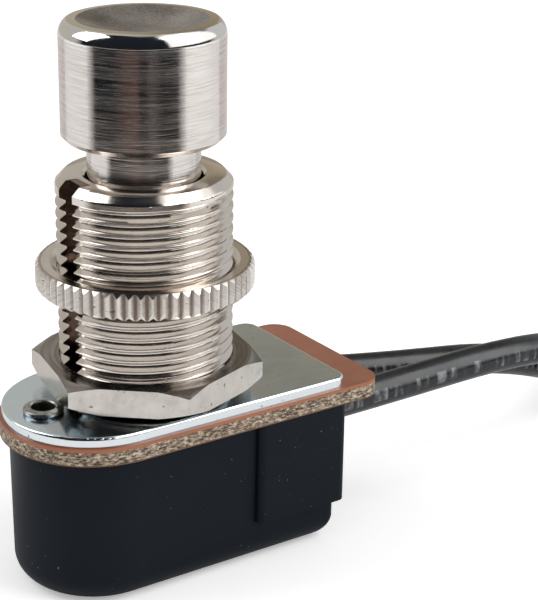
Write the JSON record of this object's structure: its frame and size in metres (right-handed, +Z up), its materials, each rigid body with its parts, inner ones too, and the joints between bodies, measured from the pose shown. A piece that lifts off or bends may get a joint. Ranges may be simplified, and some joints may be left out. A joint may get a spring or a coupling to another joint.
{
  "type": "momentary push-button switch",
  "caption": "Panel-mount momentary push-button switch with a threaded bushing, a knurled ring nut, a hexagon nut and two wire leads coiled for storage.",
  "frame": {"origin": "on the bushing's axis, at the top face of the mounting plate", "axes": "+Z up the bushing towards the button, +X towards the end where the leads come out"},
  "size_m": [0.0815, 0.0296, 0.0386],
  "materials": {
    "nickel": "bright nickel plate over turned brass",
    "zinc_plate": "bluish zinc plate, satin",
    "eyelet_steel": "plated steel, slightly dull",
    "board_laminate": "red-brown laminated board with a speckled edge",
    "case_phenolic": "moulded black phenolic, matte",
    "terminal_brass": "stamped brass",
    "contact_silver": "silver contact metal",
    "spring_steel": "drawn spring wire",
    "plunger_plastic": "moulded off-white insulating plastic",
    "lead_pvc": "extruded black PVC, glossy",
    "tinned_copper": "tinned stranded copper",
    "tie_plastic": "white plastic-coated twist tie"
  },
  "bodies": {
    "housing": {"frame_plate": "zinc_plate", "insulating_board": "board_laminate", "bushing": "nickel", "return_spring": "spring_steel", "case": "case_phenolic", "front_eyelet": "eyelet_steel", "rear_eyelet": "eyelet_steel", "front_terminal": "terminal_brass", "rear_terminal": "terminal_brass", "front_fixed_contact": "contact_silver", "rear_fixed_contact": "contact_silver", "front_lead": "lead_pvc", "rear_lead": "lead_pvc", "front_lead_coil": "lead_pvc", "rear_lead_coil": "lead_pvc", "front_lead_tip": "tinned_copper", "rear_lead_tip": "tinned_copper", "front_lead_inner_end": "tinned_copper", "rear_lead_inner_end": "tinned_copper", "coil_tie": "tie_plastic"},
    "push_button": {"button": "nickel", "plunger": "plunger_plastic", "contact_bridge": "terminal_brass", "moving_contacts": "contact_silver", "bridge_clip": "spring_steel"},
    "ring_nut": {"knurled_nut": "nickel"},
    "lock_nut": {"hex_nut": "nickel"}
  },
  "joints": [
    {"name": "button_press", "type": "slide", "parent": "housing", "child": "push_button", "axis": [0, 0, -1], "range_m": [0, 0.0021], "stiffness_N_per_m": 950, "springref_m": -0.002, "deforming": ["return_spring"]},
    {"name": "ring_nut_turn", "type": "hinge", "parent": "housing", "child": "ring_nut", "pos_m": [0, 0, 0.0085], "axis": [0, 0, 1], "continuous": true},
    {"name": "lock_nut_turn", "type": "hinge", "parent": "housing", "child": "lock_nut", "pos_m": [0, 0, 0.0017], "axis": [0, 0, 1], "continuous": true}
  ]
}
